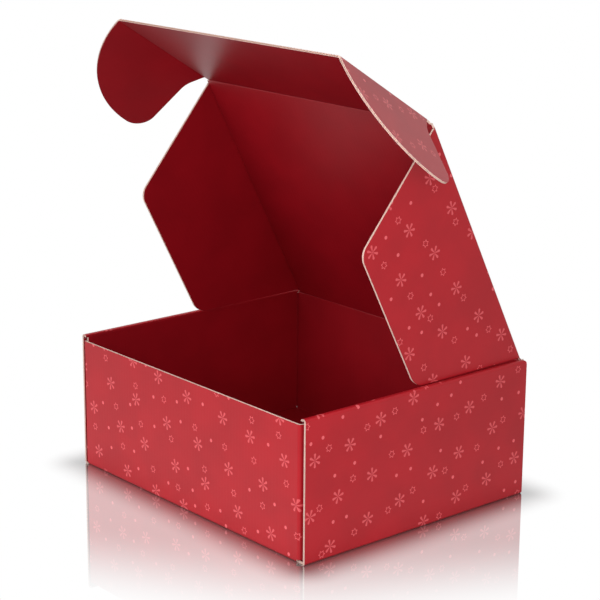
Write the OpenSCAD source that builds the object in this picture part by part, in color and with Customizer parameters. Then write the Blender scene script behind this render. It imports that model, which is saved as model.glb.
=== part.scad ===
// Corrugated mailer box: a folded tray with rolled double side walls, and a
// hinged lid that carries two side flaps and a tuck flap with two ears.
// The box stands on Z = 0, the front panel faces -Y, and the lid is half open.

/* [Box] */
// Width over the outer faces of the side walls
box_w = 250; // [180:1:400]
// Depth over the front and back panels
box_d = 205; // [160:1:320]
// Height of the side walls above the table
box_h = 100; // [70:1:160]
// How far the front panel stops below the side walls
front_drop = 5; // [4.5:0.1:10]

/* [Board] */
// Thickness of the corrugated board
board_t = 1.5; // [1:0.05:2]
// Gap between two boards that lie against each other
ply_gap = 0.15; // [0.1:0.05:0.4]
// Inside radius of a pressed fold
fold_r = 0.4; // [0.2:0.05:1]
// Gap across a crease that swings
crease_gap = 0.15; // [0.1:0.05:0.3]
// Thickness of each liner
liner_t = 0.24; // [0.15:0.01:0.35]
// Thickness of the fluted medium
medium_t = 0.16; // [0.1:0.01:0.3]
// Length of one wave of the medium
flute_pitch = 3.2; // [2.4:0.1:5]
// Depth to which the flutes stand open at a cut edge
flute_open = 0.8; // [0.3:0.1:1.5]

/* [Side walls] */
// Rounding of each side wall's top corner at the back
wall_corner_r = 3; // [1:0.5:8]
// Length of each locking tab that drops through the base
tab_l = 32; // [15:1:45]
// Distance from the middle of the wall to each tab
tab_y = 46; // [30:1:55]
// Clearance around a tab in its slot
tab_gap = 0.25; // [0.15:0.05:0.6]

/* [Corner flaps] */
// Length of the flaps held between the plies of the side walls
corner_l = 68; // [30:1:75]
// Inside radius of the soft upright folds at the four corners
corner_fold_r = 1.5; // [0.4:0.1:4]
// How much a corner flap narrows towards its end
corner_taper = 7; // [2:0.5:15]
// Rounding of a corner flap's free corners
corner_r = 6; // [2:0.5:12]

/* [Lid] */
// Depth of the closed lid's upper face below the wall tops
lid_sink = 0.7; // [0.3:0.1:1.5]
// Space between the front panel and the tuck flap behind it
tuck_play = 0.5; // [0.3:0.1:1.5]
// Space between a side wall and the lid flap beside it
flap_play = 0.35; // [0.3:0.05:1]

/* [Lid side flaps] */
// Width of a side flap from its crease to its free edge
flap_w = 91; // [50:1:92]
// Slope of a side flap's rear edge, from square to the crease
flap_rear_angle = 27; // [10:1:35]
// Slope of a side flap's front edge, from square to the crease
flap_front_angle = 23; // [23:1:35]
// Distance from the lid's rear crease to the side flap
flap_rear_set = 2.5; // [1.5:0.5:10]
// Distance from the side flap to the tuck crease
flap_front_set = 3.5; // [3.5:0.5:10]
// Rounding of a side flap's front corner
flap_front_r = 10; // [4:1:18]
// Rounding of a side flap's rear corner
flap_rear_r = 12; // [4:1:18]

/* [Tuck flap and ears] */
// Length of the tuck flap from its crease to its free edge
tuck_l = 94; // [60:1:95]
// Space between a side flap and the ear that folds in beside it
ear_play = 0.7; // [0.4:0.1:2]
// Width of an ear from its crease to its crown
ear_w = 66; // [40:1:75]
// Distance along the crease from the tuck corner to the crown of the ear
ear_crown = 21; // [21:1:30]
// Rounding of the ear between its crown and its inner edge
ear_r = 14; // [8:1:14]
// Distance from the tuck corner to the start of the ear
ear_set = 4.5; // [4.5:0.5:10]
// Width of the notch that lets the ear pass in front of the side wall
ear_notch_w = 14; // [14:0.5:20]
// Depth of that notch, measured along the tuck
ear_notch = 11; // [11:0.5:16]
// Rounding where the notch meets the ear's inner edge
ear_notch_r = 16; // [6:1:18]

/* [Pose] */
// Angle of the lid above its closed place
lid_open = 62.6; // [0:0.1:180]
// Fold between the lid and its side flaps
flap_fold = 90; // [0:1:90]
// Fold between the lid and the tuck flap
tuck_fold = 30.7; // [0:0.1:90]
// Fold of the left ear
ear_left_fold = 50; // [0:1:90]
// Fold of the right ear
ear_right_fold = 40; // [0:1:90]

/* [Hidden] */
$fn = 48;

OUTSIDE_RED = [0.66, 0.12, 0.15];
LID_RED = [0.55, 0.07, 0.10];
FLAP_RED = [0.60, 0.09, 0.12];

half_w = box_w / 2;
half_d = box_d / 2;
fold_out = fold_r + board_t;
crease_r = board_t / 2;
crease_set = crease_r + crease_gap;
corner_fold_out = corner_fold_r + board_t;

// Faces of the rolled side wall's three plies, counted from the outside
outer_in = half_w - board_t;
corner_out = outer_in - ply_gap;
corner_in = corner_out - board_t;
inner_out = corner_in - ply_gap;
inner_in = inner_out - board_t;
panel_half = corner_out - corner_fold_out;
inner_end = half_d - corner_fold_out;

// The lid closes between the side walls and over the front panel
hinge_y = half_d - board_t / 2;
hinge_z = box_h - lid_sink - board_t / 2;
front_h = box_h - front_drop;
back_h = hinge_z - crease_set;
lid_l = box_d - 2 * board_t - tuck_play;
flap_x = inner_in - flap_play - board_t / 2;
ear_x = flap_x - board_t - ear_play;
lid_half = flap_x - crease_set;
tuck_half = ear_x - crease_set;

// Points of a round stretch about centre c that turns from angle a by turn
ARC_STEPS = 12;
function arc(c, r, a, turn) =
    [for (i = [0 : ARC_STEPS]) let (at = a + turn * i / ARC_STEPS) c + r * [cos(at), sin(at)]];

function unit(v) = v / norm(v);
function angle_of(v) = atan2(v.y, v.x);
function side_of(u, w) = sign(u.x * w.y - u.y * w.x);

// Points that round the corner at b, on the way from a to c
function fillet(a, b, c, r) =
    let (u = unit(a - b), w = unit(c - b), half = acos(u * w) / 2)
    let (centre = b + unit(u + w) * r / sin(half))
    let (start = b + u * r / tan(half) - centre)
    arc(centre, r, angle_of(start), -side_of(u, w) * (180 - 2 * half));

// An outline of corners [point, radius], where a radius of 0 stays sharp
function rounded(corners) =
    let (n = len(corners))
    [for (i = [0 : n - 1])
        let (at = corners[i], before = corners[(i + n - 1) % n][0], after = corners[(i + 1) % n][0])
        each (at[1] > 0 ? fillet(before, at[0], after, at[1]) : [at[0]])];

// The quarter ring of board at a fold, filling the first quadrant
module fold_ring(inner = fold_r) {
    intersection() {
        difference() {
            circle(r = inner + board_t);
            circle(r = inner);
        }
        square(inner + board_t);
    }
}

// One hollow of the board between a liner and the medium, centred on its wave
module hollow() {
    rise = board_t - 2 * liner_t;
    slant = atan2(rise, flute_pitch / 2);
    half_base = flute_pitch / 2 - medium_t / 2 / sin(slant);
    peak = half_base * tan(slant);
    translate([0, liner_t])
        polygon([[-half_base, 0], [half_base, 0], [0, peak]]);
}

// The hollows along a cut edge of a board that fills y = 0 to board_t, centred on x = 0
module hollows(length) {
    half_waves = floor(length / (flute_pitch / 2)) - 1;
    for (i = [0 : half_waves - 1])
        translate([(i - (half_waves - 1) / 2) * flute_pitch / 2, 0])
            if (i % 2 == 0)
                hollow();
            else
                translate([0, board_t])
                    scale([1, -1])
                        hollow();
}

// The same hollows as deep as they stand open, below a cut edge at z = 0
module open_flutes(length) {
    translate([0, 0, -flute_open])
        linear_extrude(2 * flute_open)
            hollows(length);
}

// A panel between two points of a cross-section, as a plain strip
module strip(low, high) {
    translate(low)
        square(high - low);
}

// Front to back section: base, front panel and back panel in one sheet
module length_section() {
    strip([-half_d + fold_out, 0], [half_d - fold_out, board_t]);
    for (end = [[-1, front_h], [1, back_h]])
        scale([end[0], 1]) {
            translate([half_d - fold_out, fold_out])
                rotate(-90)
                    fold_ring();
            strip([half_d - board_t, fold_out], [half_d, end[1]]);
        }
}

// Outer ply and top strip of a side wall, across the box
module outer_section() {
    translate([half_w - fold_out, fold_out])
        rotate(-90)
            fold_ring();
    strip([outer_in, fold_out], [half_w, box_h - fold_out]);
    translate([half_w - fold_out, box_h - fold_out])
        fold_ring();
    strip([inner_in + fold_out, box_h - board_t], [half_w - fold_out, box_h]);
    translate([inner_in + fold_out, box_h - fold_out])
        rotate(90)
            fold_ring();
}

// Side view of a wall, with the rounded top corner at the back
module wall_outline() {
    polygon(rounded([
        [[-half_d, 0], 0],
        [[half_d, 0], 0],
        [[half_d, box_h], wall_corner_r],
        [[-half_d, box_h], 0]
    ]));
}

// Inner ply of a side wall in side view, with its tabs
module inner_outline() {
    strip([-inner_end, board_t + ply_gap], [inner_end, box_h - fold_out]);
    for (side = [-1, 1])
        strip([side * tab_y - tab_l / 2, ply_gap], [side * tab_y + tab_l / 2, board_t + ply_gap]);
}

// Side view of a corner flap that starts at x = 0 and stands from the base fold
module corner_outline(height) {
    rise = height - fold_out;
    polygon(rounded([
        [[0, 0], 0],
        [[corner_l, corner_taper], corner_r],
        [[corner_l, rise - corner_taper], corner_r],
        [[0, rise], 0]
    ]));
}

// A flat side-view outline stood up across the box, from x = low to x = high
module stand(low, high) {
    translate([low, 0, 0])
        rotate([90, 0, 90])
            linear_extrude(high - low)
                children();
}

// Open flutes of the right wall's outer ply, at both of its upright ends
module wall_flutes() {
    upright = box_h - 2 * fold_out;
    for (end = [0, 1])
        mirror([0, end, 0])
            translate([half_w, -half_d, box_h / 2])
                rotate([90, 0, 0])
                    rotate(90)
                        open_flutes(upright);
}

// One rolled side wall on the right
module side_wall() {
    difference() {
        intersection() {
            translate([0, half_d, 0])
                rotate([90, 0, 0])
                    linear_extrude(box_d)
                        outer_section();
            stand(inner_in, half_w)
                wall_outline();
        }
        wall_flutes();
    }
    stand(inner_in, inner_out)
        inner_outline();
}

// The corner flap of a panel at y = -half_d, with its upright fold, on the right
module corner_flap(height) {
    fold_y = corner_fold_out - half_d;
    translate([panel_half, fold_y, fold_out])
        rotate(-90)
            linear_extrude(height - fold_out)
                fold_ring(corner_fold_r);
    translate([0, fold_y, fold_out])
        stand(corner_in, corner_out)
            corner_outline(height);
}

// Slots in the base for the tabs of the right wall
module tab_slots() {
    for (side = [-1, 1])
        translate([inner_in - tab_gap, side * tab_y - tab_l / 2 - tab_gap, -board_t])
            cube([board_t + 2 * tab_gap, tab_l + 2 * tab_gap, 3 * board_t]);
}

module tray() {
    color(OUTSIDE_RED) {
        difference() {
            union() {
                stand(-panel_half, panel_half)
                    length_section();
                for (side = [-1, 1])
                    scale([side, 1, 1])
                        translate([panel_half, fold_out - half_d, 0])
                            cube([half_w - fold_out - panel_half, box_d - 2 * fold_out, board_t]);
            }
            tab_slots();
            mirror([1, 0, 0])
                tab_slots();
            translate([0, -half_d, front_h])
                open_flutes(2 * panel_half);
        }
        for (side = [0, 1])
            mirror([side, 0, 0]) {
                side_wall();
                corner_flap(front_h);
                mirror([0, 1, 0])
                    corner_flap(back_h);
            }
    }
}

// The round edge of a swinging board, along -Y from y = -start to y = -end
module crease_bead(start, end) {
    translate([0, -start, 0])
        rotate([90, 0, 0])
            cylinder(r = crease_r, h = end - start);
}

// Frames of the swinging boards: each crease lies on its frame's own axis
module on_lid() {
    translate([0, hinge_y, hinge_z])
        rotate([-lid_open, 0, 0])
            children();
}

module on_tuck() {
    on_lid()
        translate([0, -lid_l, 0])
            rotate([tuck_fold, 0, 0])
                children();
}

module lid() {
    color(LID_RED)
        on_lid() {
            rotate([0, 90, 0])
                cylinder(r = crease_r, h = 2 * lid_half, center = true);
            translate([-lid_half, crease_set - lid_l, -board_t / 2])
                cube([2 * lid_half, lid_l - crease_set, board_t]);
        }
}

// A board whose outline is drawn with x away from the crease and y along it,
// both from the crease's rear end
module flap_board(start, end) {
    translate([0, 0, -board_t / 2])
        linear_extrude(board_t)
            scale([1, -1])
                children();
    crease_bead(start, end);
}

module side_flap_outline() {
    rear = flap_rear_set;
    front = lid_l - flap_front_set;
    polygon(rounded([
        [[0, rear], 0],
        [[flap_w, rear + flap_w * tan(flap_rear_angle)], flap_rear_r],
        [[flap_w, front - flap_w * tan(flap_front_angle)], flap_front_r],
        [[0, front], 0]
    ]));
}

module side_flap() {
    rotate([0, flap_fold, 0])
        flap_board(flap_rear_set, lid_l - flap_front_set)
            side_flap_outline();
}

module lid_flap_right() {
    color(FLAP_RED)
        on_lid()
            translate([flap_x, 0, 0])
                side_flap();
}

module lid_flap_left() {
    color(FLAP_RED)
        on_lid()
            mirror([1, 0, 0])
                translate([flap_x, 0, 0])
                    side_flap();
}

module tuck_flap() {
    color(LID_RED)
        on_tuck() {
            rotate([0, 90, 0])
                cylinder(r = crease_r, h = 2 * tuck_half, center = true);
            difference() {
                translate([-tuck_half, -tuck_l, -board_t / 2])
                    cube([2 * tuck_half, tuck_l, board_t]);
                translate([0, -tuck_l, -board_t / 2])
                    rotate([90, 0, 0])
                        open_flutes(2 * tuck_half);
            }
        }
}

// The ear: one long arc from the tuck's free end to the crown, a small round
// to the inner edge, and a notch at the root
module ear_outline() {
    reach = tuck_l - ear_crown;
    long_r = (reach * reach + ear_w * ear_w) / (2 * ear_w);
    root = [0, ear_set];
    notch = [ear_notch_w, ear_notch];
    shoulder = [ear_w - ear_r, ear_crown - ear_r];
    polygon(concat(
        [root],
        fillet(root, notch, shoulder, ear_notch_r),
        arc([ear_w - ear_r, ear_crown], ear_r, -90, 90),
        arc([ear_w - long_r, ear_crown], long_r, 0, asin(reach / long_r))
    ));
}

module ear(fold) {
    translate([ear_x, 0, 0])
        rotate([0, fold, 0])
            flap_board(ear_set, tuck_l)
                ear_outline();
}

module tuck_ear_right() {
    color(FLAP_RED)
        on_tuck()
            ear(ear_right_fold);
}

module tuck_ear_left() {
    color(FLAP_RED)
        on_tuck()
            mirror([1, 0, 0])
                ear(ear_left_fold);
}

tray();
lid();
lid_flap_left();
lid_flap_right();
tuck_flap();
tuck_ear_left();
tuck_ear_right();
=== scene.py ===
"""Looks of a printed corrugated mailer box with its lid half open.

Every board is drawn flat in the plane of the die-cut sheet, given its thickness and its fluted
cut edges there, and then folded up by its creases, so the print runs over each fold.
"""

import logging
import math
from dataclasses import dataclass, field
from enum import Enum
from functools import partial
from typing import Callable, Iterable, Mapping

import bmesh
import bpy
from mathutils import Matrix, Vector


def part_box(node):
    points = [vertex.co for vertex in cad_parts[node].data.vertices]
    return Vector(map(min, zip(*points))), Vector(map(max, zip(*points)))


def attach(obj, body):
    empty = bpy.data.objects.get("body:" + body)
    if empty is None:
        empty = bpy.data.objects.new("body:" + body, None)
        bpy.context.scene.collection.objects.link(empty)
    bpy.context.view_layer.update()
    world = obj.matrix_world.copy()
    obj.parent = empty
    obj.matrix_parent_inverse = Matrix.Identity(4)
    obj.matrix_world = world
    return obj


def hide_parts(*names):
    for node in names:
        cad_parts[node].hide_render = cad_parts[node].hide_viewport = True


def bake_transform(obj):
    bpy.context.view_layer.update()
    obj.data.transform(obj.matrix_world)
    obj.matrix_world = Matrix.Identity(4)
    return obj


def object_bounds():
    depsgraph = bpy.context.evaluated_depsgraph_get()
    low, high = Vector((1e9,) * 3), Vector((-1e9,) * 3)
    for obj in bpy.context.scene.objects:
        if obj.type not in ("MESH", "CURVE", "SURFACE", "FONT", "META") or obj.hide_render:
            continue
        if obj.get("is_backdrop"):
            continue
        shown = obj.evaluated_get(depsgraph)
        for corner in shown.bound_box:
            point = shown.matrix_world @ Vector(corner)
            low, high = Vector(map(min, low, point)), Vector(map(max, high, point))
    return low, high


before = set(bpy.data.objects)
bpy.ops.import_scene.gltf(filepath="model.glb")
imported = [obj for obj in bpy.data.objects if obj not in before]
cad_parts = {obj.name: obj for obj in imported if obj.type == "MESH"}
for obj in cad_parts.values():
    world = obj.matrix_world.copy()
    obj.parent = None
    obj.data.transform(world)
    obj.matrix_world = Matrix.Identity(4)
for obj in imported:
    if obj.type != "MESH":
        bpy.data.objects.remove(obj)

LOG = logging.getLogger("mailer_box")
MM = 0.001
HAIR = 0.001 * MM
MERGE = 0.0001 * MM
CRISP_FROM = 35.0
SIGNS = (-1, 1)
SHEET_MAP = "sheet"
THROUGH = "through"

Chooser = Callable[[Vector], bool]
Corner = tuple[float, float, float]
Finishes = list[bpy.types.Material]
Place = tuple[float, float, float]
Colour = tuple[float, float, float, float]
Socket = bpy.types.NodeSocket
Value = Socket | float
Feeds = Mapping[int | str, object]


class Face(Enum):
    """The faces of a board, in the order of its material slots."""

    PRINTED = 0
    INSIDE = 1
    RAW = 2
    PLAIN = 3


class Side(Enum):
    """The two sides of the box, as the sign of X."""

    LEFT = -1
    RIGHT = 1


@dataclass(frozen=True)
class Board:
    """Corrugated board: two liners with a fluted medium between them.

    The flutes run along the sheet's V direction, from the front panel to the tuck flap.

    Attributes:
        thickness: Thickness of the whole board.
        liner: Thickness of a liner.
        medium: Thickness of the fluted sheet.
        pitch: From flute to flute.
        wave_steps: Straight pieces in one flute.
        recess: Depth to which a cut edge is open.
        medium_set: How far the fluted sheet stays behind the liners at a cut edge.
        medium_hold: How far it reaches past the open depth.
        ply_gap: Play between the plies of a side wall.
        fold_r: Inside radius of a pressed fold.
        crease_set: Half the width of a crease that swings.
        bend_steps: Straight pieces in one fold.
        cut_margin: Where the extra cuts beside a fold lie.
    """

    thickness: float = 1.5 * MM
    liner: float = 0.24 * MM
    medium: float = 0.16 * MM
    pitch: float = 3.2 * MM
    wave_steps: int = 8
    recess: float = 1.5 * MM
    medium_set: float = 0.12 * MM
    medium_hold: float = 0.05 * MM
    ply_gap: float = 0.15 * MM
    fold_r: float = 0.4 * MM
    crease_set: float = 0.9 * MM
    bend_steps: int = 6
    cut_margin: float = 0.3 * MM

    @property
    def fold_out(self) -> float:
        """Outside radius of a pressed fold."""
        return self.fold_r + self.thickness

    @property
    def bend(self) -> float:
        """Length of sheet that a pressed square fold takes up along its middle."""
        return self.bend_of(self.fold_r)

    def bend_of(self, inner_r: float, degrees: float = 90.0) -> float:
        """Length of sheet that a fold of any inside radius and angle takes up."""
        return math.radians(degrees) * (inner_r + self.thickness / 2)


BOARD = Board()


def turn(axis: str, degrees: float) -> Matrix:
    """A rotation about one axis by an angle in degrees."""
    return Matrix.Rotation(math.radians(degrees), 4, axis)


def shift(x: float, y: float, z: float) -> Matrix:
    """A plain move."""
    return Matrix.Translation((x, y, z))


@dataclass(frozen=True)
class Box:
    """Sizes of the folded box and where each board lies, from the frame where it shows them."""

    half_w: float
    half_d: float
    height: float
    front_drop: float = 5 * MM
    lid_sink: float = 0.7 * MM
    tuck_play: float = 0.5 * MM
    flap_play: float = 0.35 * MM
    ear_play: float = 0.7 * MM
    lid_open: float = 62.6
    flap_fold: float = 90.0
    tuck_fold: float = 30.7
    ear_left_fold: float = 50.0
    ear_right_fold: float = 40.0

    @classmethod
    def from_frame(cls) -> "Box":
        """Reads the tray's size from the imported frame."""
        low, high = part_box("tray")
        return cls(high.x, high.y, high.z)

    @property
    def outer_in(self) -> float:
        """Inner face of a side wall's outer ply."""
        return self.half_w - BOARD.thickness

    @property
    def corner_out(self) -> float:
        """Outer face of a corner flap."""
        return self.outer_in - BOARD.ply_gap

    @property
    def inner_in(self) -> float:
        """Visible face of a side wall's inner ply."""
        return self.corner_out - BOARD.thickness - BOARD.ply_gap - BOARD.thickness

    @property
    def hinge(self) -> Vector:
        """A point on the lid's crease."""
        set_in = BOARD.thickness / 2
        return Vector((0, self.half_d - set_in, self.height - self.lid_sink - set_in))

    @property
    def lid_l(self) -> float:
        """Length of the lid between its two creases."""
        return 2 * self.half_d - 2 * BOARD.thickness - self.tuck_play

    @property
    def flap_x(self) -> float:
        """Place of a side flap's crease."""
        return self.inner_in - self.flap_play - BOARD.thickness / 2

    @property
    def ear_x(self) -> float:
        """Place of an ear's crease."""
        return self.flap_x - BOARD.thickness - self.ear_play

    @property
    def base_fold_v(self) -> float:
        """Where the base ends and the folds of the front and back panels begin."""
        return self.half_d - BOARD.fold_out

    @property
    def front_v(self) -> float:
        """Length of sheet from the middle of the base to the front panel's top edge."""
        return self.base_fold_v + BOARD.bend + self.height - self.front_drop - BOARD.fold_out

    @property
    def back_v(self) -> float:
        """Length of sheet from the middle of the base to the back panel's top crease."""
        rise = self.hinge.z - BOARD.crease_set - BOARD.fold_out
        return self.base_fold_v + BOARD.bend + rise

    @property
    def hinge_v(self) -> float:
        """The lid crease's place in the sheet."""
        return self.back_v + BOARD.crease_set

    @property
    def tuck_v(self) -> float:
        """The tuck crease's place in the sheet."""
        return self.hinge_v + self.lid_l

    def back_panel(self) -> Matrix:
        """Places the sheet so that the back panel stands where it belongs."""
        stood = shift(0, self.half_d, self.hinge.z) @ turn("X", 90)
        return stood @ shift(0, -self.hinge_v, 0)

    def lid(self) -> Matrix:
        """Places the sheet so that the lid lies on its crease at its resting angle."""
        on_hinge = Matrix.Translation(self.hinge) @ turn("X", -self.lid_open)
        return on_hinge @ turn("X", 180) @ shift(0, -self.hinge_v, -BOARD.thickness / 2)

    def side_flap(self, side: Side) -> Matrix:
        """Places the sheet so that one side flap hangs from the lid."""
        return self.lid() @ self.swing_u(side.value * self.flap_x, -side.value * self.flap_fold)

    def tuck(self) -> Matrix:
        """Places the sheet so that the tuck flap hangs from the lid's front crease."""
        on_crease = shift(0, self.tuck_v, BOARD.thickness / 2) @ turn("X", self.tuck_fold)
        return self.lid() @ on_crease @ shift(0, -self.tuck_v, -BOARD.thickness / 2)

    def ear(self, side: Side) -> Matrix:
        """Places the sheet so that one ear hangs from the tuck flap."""
        fold = self.ear_left_fold if side is Side.LEFT else self.ear_right_fold
        return self.tuck() @ self.swing_u(side.value * self.ear_x, -side.value * fold)

    @staticmethod
    def swing_u(u: float, degrees: float) -> Matrix:
        """Turns the sheet about a crease that runs along V at one U."""
        middle = BOARD.thickness / 2
        return shift(u, 0, middle) @ turn("Y", degrees) @ shift(-u, 0, -middle)


class Outline:
    """A pen that draws the cut line of a flat board, corner by corner."""

    round_steps = 8

    def __init__(self) -> None:
        """Starts an empty outline."""
        self.bm = bmesh.new()
        self.path: list[bmesh.types.BMVert] = []
        self.rounds: list[tuple[bmesh.types.BMVert, float]] = []

    def to(self, u: float, v: float, radius: float = 0.0) -> "Outline":
        """Adds a corner.

        Args:
            u: Place across the sheet.
            v: Place along the sheet.
            radius: Rounding of the corner, where 0 stays sharp.

        Returns:
            The pen itself.
        """
        vert = self.bm.verts.new((u, v, 0))
        self.path.append(vert)
        if radius > 0:
            self.rounds.append((vert, radius))
        return self

    def arc(self, centre: Vector, radius: float, start: float, sweep: float, steps: int) -> None:
        """Adds a round stretch.

        Args:
            centre: Centre in the sheet.
            radius: Radius of the stretch.
            start: First angle in degrees.
            sweep: How far it turns, in degrees.
            steps: Number of pieces.
        """
        spun = self.bm.verts.new(centre + turn("Z", start) @ Vector((radius, 0, 0)))
        angle = math.radians(sweep)
        made = bmesh.ops.spin(
            self.bm, geom=[spun], cent=centre, axis=(0, 0, 1), angle=angle, steps=steps
        )
        chain, last = [spun], made["geom_last"][0]
        while chain[-1] is not last:
            ahead = [e.other_vert(chain[-1]) for e in chain[-1].link_edges]
            chain.append(next(v for v in ahead if v not in chain))
        self.path += chain

    def close(self) -> bmesh.types.BMesh:
        """Joins the ends, rounds the corners and fills the board's printed face.

        Returns:
            A mesh with the one flat face, which looks down.
        """
        for a, b in zip(self.path, self.path[1:] + self.path[:1]):
            if self.bm.edges.get((a, b)) is None:
                self.bm.edges.new((a, b))
        tangents = [(v, self.tangent(v, r)) for v, r in self.rounds]
        bmesh.ops.contextual_create(self.bm, geom=self.bm.edges[:])
        for vert, length in tangents:
            bmesh.ops.bevel(
                self.bm, geom=[vert], offset=length, offset_type="OFFSET", affect="VERTICES",
                segments=self.round_steps, profile=0.5, material=-1, clamp_overlap=False,
            )
        self.bm.normal_update()
        if self.bm.faces[:][0].normal.z > 0:
            bmesh.ops.reverse_faces(self.bm, faces=self.bm.faces[:])
        return self.bm

    @staticmethod
    def tangent(vert: bmesh.types.BMVert, radius: float) -> float:
        """How far from a corner its rounding begins."""
        a, b = (e.other_vert(vert).co - vert.co for e in vert.link_edges)
        return radius / math.tan(a.angle(b) / 2)


def cut_across(bm: bmesh.types.BMesh, at: Vector, normal: Vector) -> None:
    """Cuts every face of a board that a plane crosses."""
    every = bm.verts[:] + bm.edges[:] + bm.faces[:]
    bmesh.ops.bisect_plane(bm, geom=every, dist=MERGE, plane_co=at, plane_no=normal)


@dataclass(frozen=True)
class Cut:
    """A straight cut across the sheet at one U or one V."""

    across_u: bool
    at: float

    def make(self, bm: bmesh.types.BMesh) -> None:
        """Cuts every face that the line crosses."""
        along = Vector((1, 0, 0)) if self.across_u else Vector((0, 1, 0))
        cut_across(bm, along * self.at, along)


def fold_cuts(
    across_u: bool, at: float, sign: int, inner_r: float = BOARD.fold_r, degrees: float = 90.0
) -> list[Cut]:
    """The cuts that let a fold bend smoothly, with one more on either side of it.

    Args:
        across_u: True where the fold line runs along V.
        at: Where the fold begins.
        sign: The direction in which the sheet goes on.
        inner_r: Inside radius of the fold.
        degrees: How far the fold turns.

    Returns:
        The cuts.
    """
    margin, bend = BOARD.cut_margin, BOARD.bend_of(inner_r, degrees)
    places = [-margin] + [bend * i / BOARD.bend_steps for i in range(BOARD.bend_steps + 1)]
    return [Cut(across_u, sign * (at + d)) for d in places + [bend + margin]]


@dataclass
class Fold:
    """A fold of part of the sheet towards the inside.

    Attributes:
        at: A point on the line where the fold begins.
        outward: Direction in the sheet from the fold to its free part.
        bends: Chooses the points that bend or follow, by their flat place.
        follows: Chooses the points that only follow, by their flat place.
        inner_r: Inside radius of the fold.
        degrees: How far the fold turns.
    """

    at: Vector
    outward: Vector
    bends: Chooser
    follows: Chooser = field(default=lambda flat: False)
    inner_r: float = BOARD.fold_r
    degrees: float = 90.0

    def make(self, points: Iterable[tuple[bmesh.types.BMVert, Vector]]) -> None:
        """Folds the points that this fold reaches.

        Args:
            points: Each point with its flat place.
        """
        centre_w = BOARD.thickness + self.inner_r
        bend = BOARD.bend_of(self.inner_r, self.degrees)
        for vert, flat in points:
            rigid = self.follows(flat)
            if not rigid and not self.bends(flat):
                continue
            reach = (vert.co - self.at).dot(self.outward)
            if reach <= 0 and not rigid:
                continue
            part = 1.0 if rigid else min(reach / bend, 1.0)
            rest = reach - bend if part >= 1.0 else 0.0
            angle = part * math.radians(self.degrees)
            radius = centre_w - vert.co.z
            moved = self.outward * (radius * math.sin(angle) + rest * math.cos(angle) - reach)
            lifted = centre_w - radius * math.cos(angle) + rest * math.sin(angle)
            vert.co = Vector((vert.co.x + moved.x, vert.co.y + moved.y, lifted))


def thicken_sheet(bm: bmesh.types.BMesh) -> None:
    """Gives flat faces the board's thickness towards the inside and names every face.

    Args:
        bm: The flat mesh, which looks down.
    """
    made = bmesh.ops.extrude_face_region(bm, geom=bm.faces[:], use_keep_orig=True)
    top = [g for g in made["geom"] if isinstance(g, bmesh.types.BMVert)]
    bmesh.ops.translate(bm, verts=top, vec=(0, 0, BOARD.thickness))
    lifted = [g for g in made["geom"] if isinstance(g, bmesh.types.BMFace)]
    bmesh.ops.reverse_faces(bm, faces=lifted)
    bmesh.ops.recalc_face_normals(bm, faces=bm.faces[:])
    bm.normal_update()
    for f in bm.faces:
        level = abs(f.normal.z) > 0.5
        kind = (Face.INSIDE if f.normal.z > 0 else Face.PRINTED) if level else Face.RAW
        f.material_index = kind.value


def lay_sheet_map(bm: bmesh.types.BMesh) -> None:
    """Lays out the sheet map and the depth through the board while the board is flat.

    Args:
        bm: The board's flat mesh.
    """
    sheet = bm.loops.layers.uv.new(SHEET_MAP)
    through = bm.verts.layers.float.new(THROUGH)
    for v in bm.verts:
        v[through] = min(max(v.co.z / BOARD.thickness, 0.0), 1.0)
    for f in bm.faces:
        for loop in f.loops:
            loop[sheet].uv = (loop.vert.co.x, loop.vert.co.y)


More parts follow.
